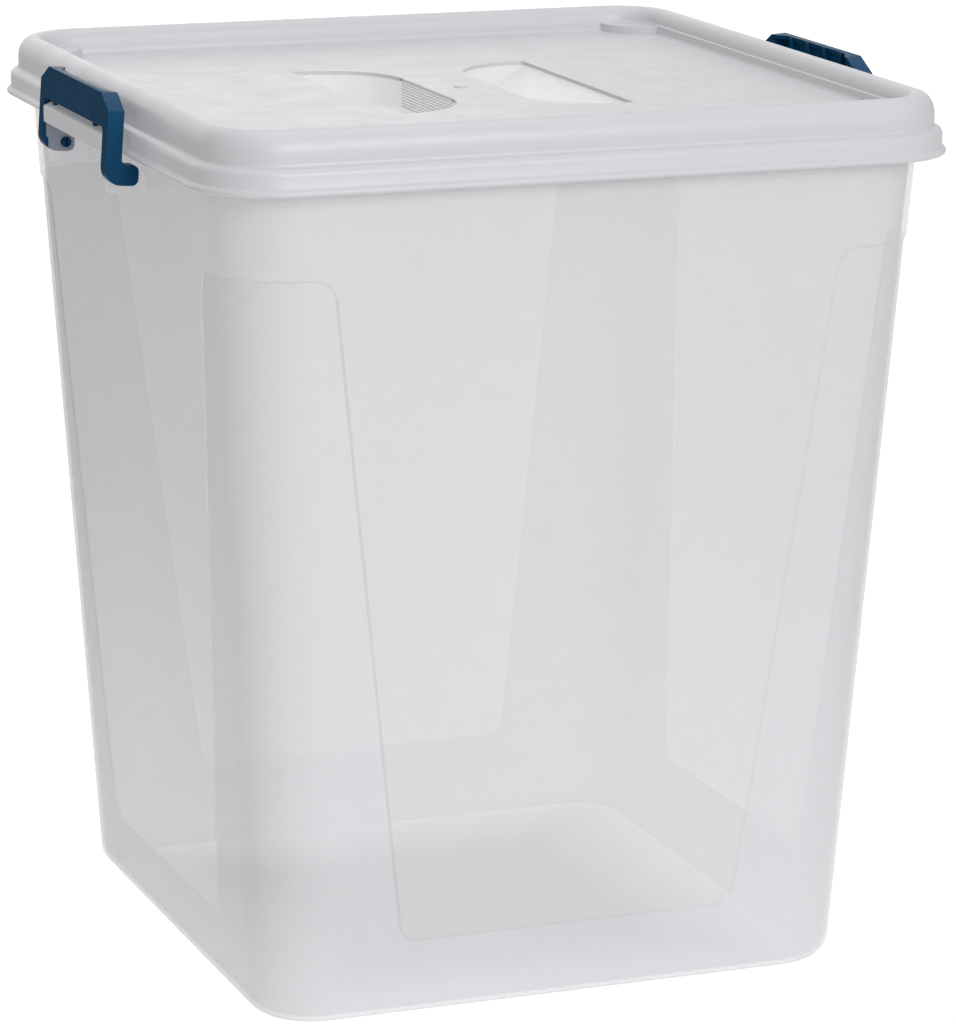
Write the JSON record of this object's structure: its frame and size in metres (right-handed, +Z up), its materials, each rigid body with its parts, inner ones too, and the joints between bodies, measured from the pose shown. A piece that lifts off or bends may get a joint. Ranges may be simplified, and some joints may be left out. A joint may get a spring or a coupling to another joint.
{
  "type": "storage box",
  "caption": "Tall square translucent plastic storage box with tapered walls, a beaded lid with finger scoops, and swinging clip handles at the sides.",
  "frame": {"origin": "centre of the underside, on the surface the box stands on", "axes": "+Z up, the front face towards -Y, the clip handles on the -X and +X sides"},
  "size_m": [0.447, 0.4232, 0.4894],
  "materials": {
    "tub_pp": "translucent polypropylene, clear band and windows with frosted corners",
    "lid_pp": "translucent polypropylene, satin",
    "clip_pp": "dark navy blue, glossy"
  },
  "bodies": {
    "tub": {"tub": "tub_pp"},
    "lid": {"lid": "lid_pp"},
    "clip_left": {"clip_left": "clip_pp"},
    "clip_right": {"clip_right": "clip_pp"}
  },
  "joints": [
    {"name": "lid_lift", "type": "slide", "parent": "tub", "child": "lid", "axis": [0, 0, 1], "range_m": [0, 0.2]},
    {"name": "clip_left_swing", "type": "hinge", "parent": "tub", "child": "clip_left", "pos_m": [-0.211, 0, 0.4468], "axis": [0, -1, 0], "range_deg": [0, 160]},
    {"name": "clip_right_swing", "type": "hinge", "parent": "tub", "child": "clip_right", "pos_m": [0.211, 0, 0.4468], "axis": [0, 1, 0], "range_deg": [0, 160]}
  ]
}
